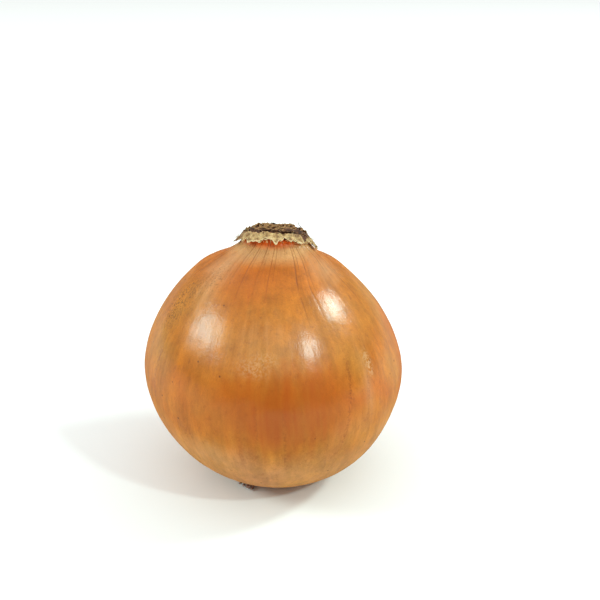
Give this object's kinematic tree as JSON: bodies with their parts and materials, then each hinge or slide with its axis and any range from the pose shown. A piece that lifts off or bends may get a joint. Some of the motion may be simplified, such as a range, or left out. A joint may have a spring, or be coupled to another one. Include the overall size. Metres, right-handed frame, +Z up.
{
  "type": "onion",
  "caption": "Round brown onion with glossy dry skin, a torn papery collar round its dried cut neck, and trimmed roots under its base.",
  "frame": {"origin": "on the surface the onion stands on, below the middle of its bounding box", "axes": "+Z up from the root end through the neck; -Y is the side that faces the viewer in the picture; +X is to that viewer's right"},
  "size_m": [0.085, 0.0852, 0.0854],
  "materials": {
    "dry_skin": "thin dry onion skin, satin gloss",
    "papery_collar": "torn papery skin, matt",
    "withered_leaf": "withered dry leaf, matt",
    "dry_root": "dry wiry roots, matt"
  },
  "bodies": {
    "root": {"bulb": "dry_skin", "neck_collar": "papery_collar", "leaf_stub": "withered_leaf", "root_mat": "dry_root"}
  },
  "joints": []
}
